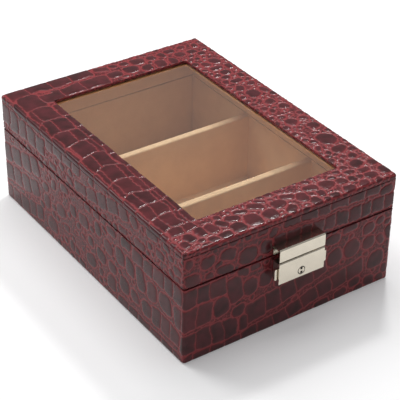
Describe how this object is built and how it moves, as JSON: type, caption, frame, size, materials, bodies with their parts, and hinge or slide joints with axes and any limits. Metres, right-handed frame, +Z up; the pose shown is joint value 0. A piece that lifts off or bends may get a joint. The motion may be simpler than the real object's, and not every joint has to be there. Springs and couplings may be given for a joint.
{
  "type": "eyewear storage box",
  "caption": "Leather-covered box with a hinged, glazed lid, suede-lined compartments with dividers, and a plate lock with a sliding catch.",
  "frame": {"origin": "centre of the box's underside, on the surface that it stands on", "axes": "+Z up; +X to the right seen from the lock side; the lock faces -Y and the hinges are at +Y"},
  "size_m": [0.18, 0.2654, 0.091],
  "materials": {
    "wood_board": "plain fibreboard",
    "leather_embossed": "glossy, scale-embossed, dark brown with red grooves",
    "suede_tan": "tan suede over card",
    "cloth_black": "black felt",
    "glass_clear": "clear, polished",
    "nickel": "polished nickel",
    "steel": "nickel-plated steel"
  },
  "bodies": {
    "base": {"base_back_lining": "suede_tan", "base_back_wall": "wood_board", "base_bottom_cover": "cloth_black", "base_floor_board": "wood_board", "base_floor_lining": "suede_tan", "base_front_lining": "suede_tan", "base_front_wall": "wood_board", "base_leather": "leather_embossed", "base_left_lining": "suede_tan", "base_left_wall": "wood_board", "base_right_lining": "suede_tan", "base_right_wall": "wood_board", "divider_1_board": "wood_board", "divider_1_sleeve": "suede_tan", "divider_2_board": "wood_board", "divider_2_sleeve": "suede_tan", "hinge_base_screws": "steel", "left_hinge_base_leaf": "steel", "left_hinge_pin": "steel", "lock_case": "steel", "lock_front_plate": "nickel", "lock_screws": "steel", "right_hinge_base_leaf": "steel", "right_hinge_pin": "steel", "slide_leaf_spring": "steel"},
    "lid": {"hasp_plate": "nickel", "hasp_screws": "steel", "hasp_tongue": "steel", "hinge_lid_screws": "steel", "left_hinge_lid_leaf": "steel", "lid_back_lining": "suede_tan", "lid_back_wall": "wood_board", "lid_frame_board": "wood_board", "lid_front_lining": "suede_tan", "lid_front_wall": "wood_board", "lid_left_lining": "suede_tan", "lid_left_wall": "wood_board", "lid_right_lining": "suede_tan", "lid_right_wall": "wood_board", "lid_side_leather": "leather_embossed", "lid_top_leather": "leather_embossed", "right_hinge_lid_leaf": "steel", "window_glass": "glass_clear", "window_liner_frame": "suede_tan"},
    "slide": {"lock_slide": "steel"},
    "key": {"key_cylinder": "nickel"},
    "bolt": {"lock_bolt": "steel"}
  },
  "joints": [
    {"name": "lid_hinge", "type": "hinge", "parent": "base", "child": "lid", "pos_m": [0, 0.1282, 0.06215], "axis": [-1, 0, 0], "range_deg": [0, 100]},
    {"name": "catch_slide", "type": "slide", "parent": "base", "child": "slide", "axis": [1, 0, 0], "range_m": [0, 0.0022]},
    {"name": "key_turn", "type": "hinge", "parent": "base", "child": "key", "pos_m": [0.0015, -0.132, 0.0475], "axis": [0, -1, 0], "range_deg": [0, 90]},
    {"name": "bolt_lift", "type": "slide", "parent": "base", "child": "bolt", "axis": [0, 0, 1], "range_m": [0, 0.00198]}
  ],
  "couplings": [
    {"joint": "key_turn", "follows": "bolt_lift", "rad_per_m": 793.3}
  ]
}
